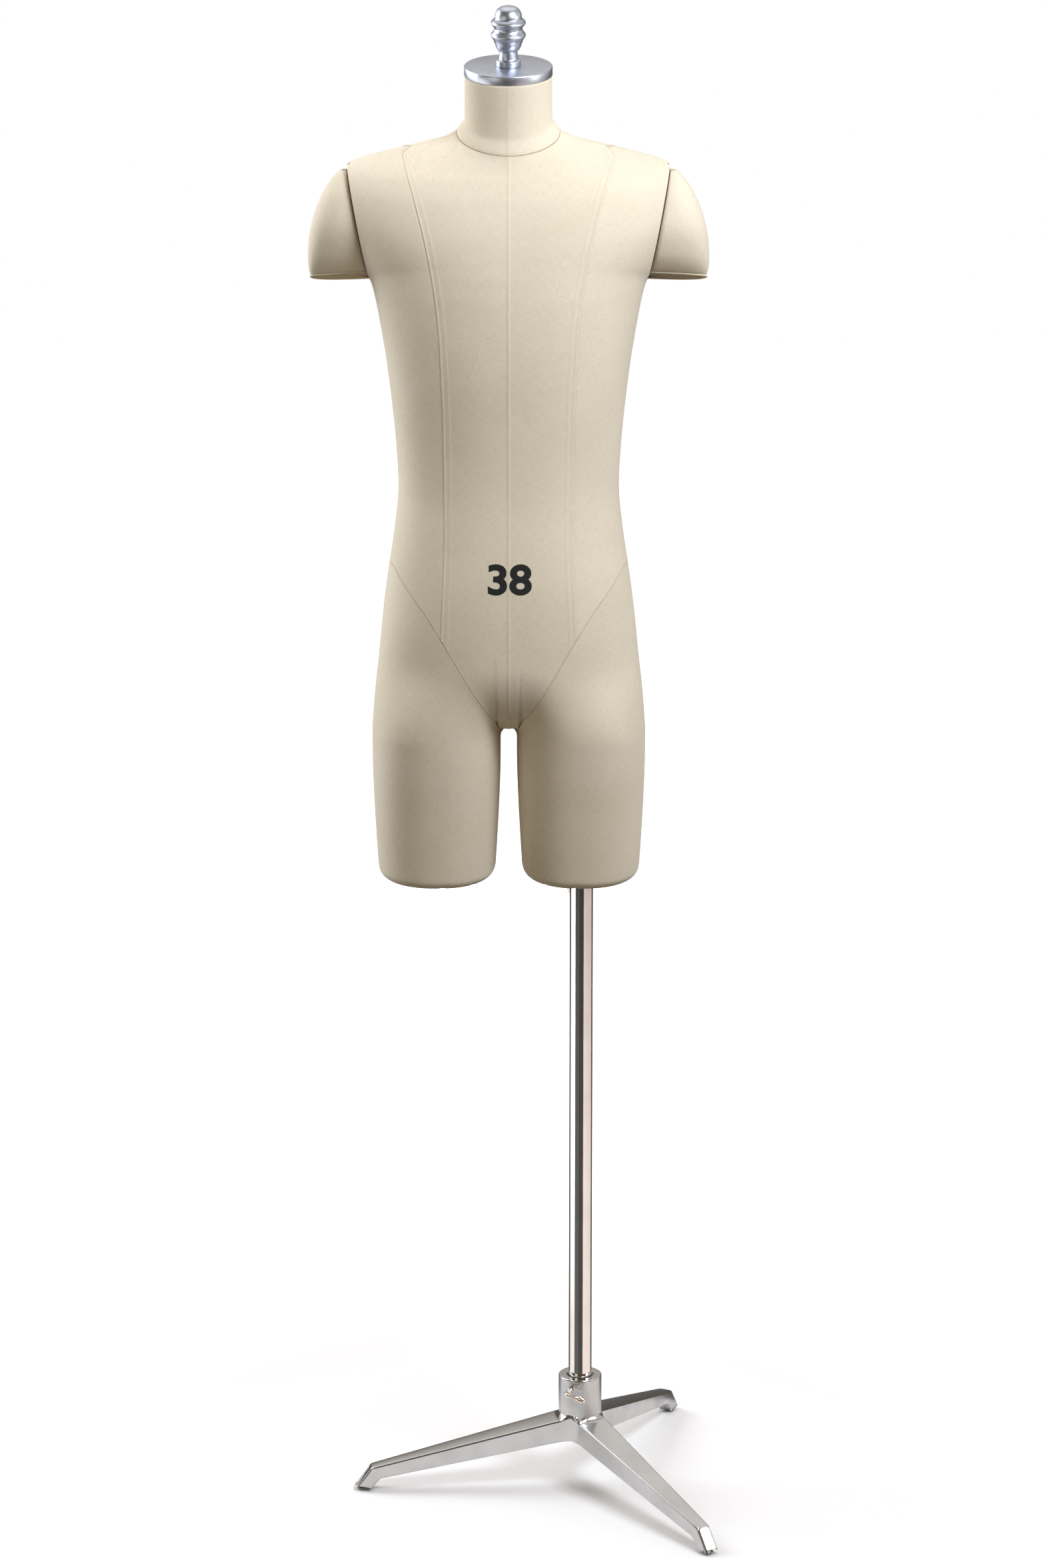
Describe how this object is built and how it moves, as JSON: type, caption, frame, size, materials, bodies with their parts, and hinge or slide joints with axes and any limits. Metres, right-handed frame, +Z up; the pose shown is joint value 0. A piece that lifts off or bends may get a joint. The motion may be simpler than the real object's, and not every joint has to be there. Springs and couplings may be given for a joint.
{
  "type": "dress form",
  "caption": "Linen half-body dress form with spring-loaded collapsible shoulders, neck cap and finial, on a telescopic pole with a cast tripod base.",
  "frame": {"origin": "on the floor, under the middle of the whole object's bounding box", "axes": "+Z up along the pole, -Y towards the front of the form, +X towards the form's pole side (the viewer's right when facing it)"},
  "size_m": [0.4949, 0.5008, 1.861],
  "materials": {
    "linen": "woven",
    "linen_underside": "woven",
    "body_shell": "matte",
    "wood": "sanded",
    "pole_chrome": "polished",
    "nickel": "polished",
    "polished_casting": "polished",
    "satin_cap": "satin",
    "nylon": "matte",
    "spring_steel": "bright"
  },
  "bodies": {
    "base": {"tripod_base": "polished_casting", "foot_pads": "nylon", "pole_seat": "nylon"},
    "base_lock": {"base_lock_handle": "nickel", "base_lock_tip": "nickel"},
    "pole": {"lower_pole": "pole_chrome", "lower_pole_plug": "nylon", "pole_collar": "pole_chrome", "pole_bush": "nylon"},
    "pole_lock": {"pole_lock_handle": "nickel", "pole_lock_tip": "nickel"},
    "form": {"upper_pole": "pole_chrome", "upper_pole_guide": "nylon", "socket_tube": "pole_chrome", "socket_flange": "pole_chrome", "socket_screws": "nickel", "pelvis_board": "wood", "spine_post": "wood", "shoulder_beam": "wood", "left_guide_block": "nylon", "right_guide_block": "nylon", "torso_shell": "body_shell", "torso_cover": "linen", "left_thigh_shell": "body_shell", "right_thigh_shell": "body_shell", "left_thigh_cover": "linen", "right_thigh_cover": "linen", "left_leg_board": "wood", "right_leg_board": "wood", "neck_shell": "body_shell", "neck_cover": "linen", "neck_block": "wood", "neck_rod": "nickel", "neck_rod_nut": "nickel", "neck_cap": "satin_cap", "left_shoulder_springs": "spring_steel", "right_shoulder_springs": "spring_steel"},
    "left_arm": {"left_arm_shell": "body_shell", "left_arm_cover": "linen", "left_arm_underside": "linen_underside", "left_arm_board": "wood", "left_guide_rods": "nickel", "left_rod_clips": "nickel"},
    "right_arm": {"right_arm_shell": "body_shell", "right_arm_cover": "linen", "right_arm_underside": "linen_underside", "right_arm_board": "wood", "right_guide_rods": "nickel", "right_rod_clips": "nickel"},
    "finial": {"finial": "satin_cap"}
  },
  "joints": [
    {"name": "base_lock_turn", "type": "hinge", "parent": "base", "child": "base_lock", "pos_m": [0.07876, -0.01052, 0.133], "axis": [-0.454, -0.891, 0], "range_deg": [-180, 180]},
    {"name": "pole_swivel", "type": "hinge", "parent": "base", "child": "pole", "pos_m": [0.07876, -0.01052, 0.1], "axis": [0, 0, 1], "continuous": true},
    {"name": "pole_lock_turn", "type": "hinge", "parent": "pole", "child": "pole_lock", "pos_m": [0.07876, -0.01052, 0.793], "axis": [-0.3256, 0.9455, 0], "range_deg": [-90, 90]},
    {"name": "height_slide", "type": "slide", "parent": "pole", "child": "form", "axis": [0, 0, 1], "range_m": [0, 0.3]},
    {"name": "left_shoulder_press", "type": "slide", "parent": "form", "child": "left_arm", "axis": [0.9816, 0, 0.1908], "range_m": [0, 0.038], "stiffness_N_per_m": 800, "springref_m": -0.015, "deforming": ["left_shoulder_springs"]},
    {"name": "right_shoulder_press", "type": "slide", "parent": "form", "child": "right_arm", "axis": [-0.9816, 0, 0.1908], "range_m": [0, 0.038], "stiffness_N_per_m": 800, "springref_m": -0.015, "deforming": ["right_shoulder_springs"]},
    {"name": "finial_turn", "type": "hinge", "parent": "form", "child": "finial", "pos_m": [-0.00974, -0.01751, 1.7785], "axis": [0, -0.1063, 0.9943], "continuous": true}
  ]
}
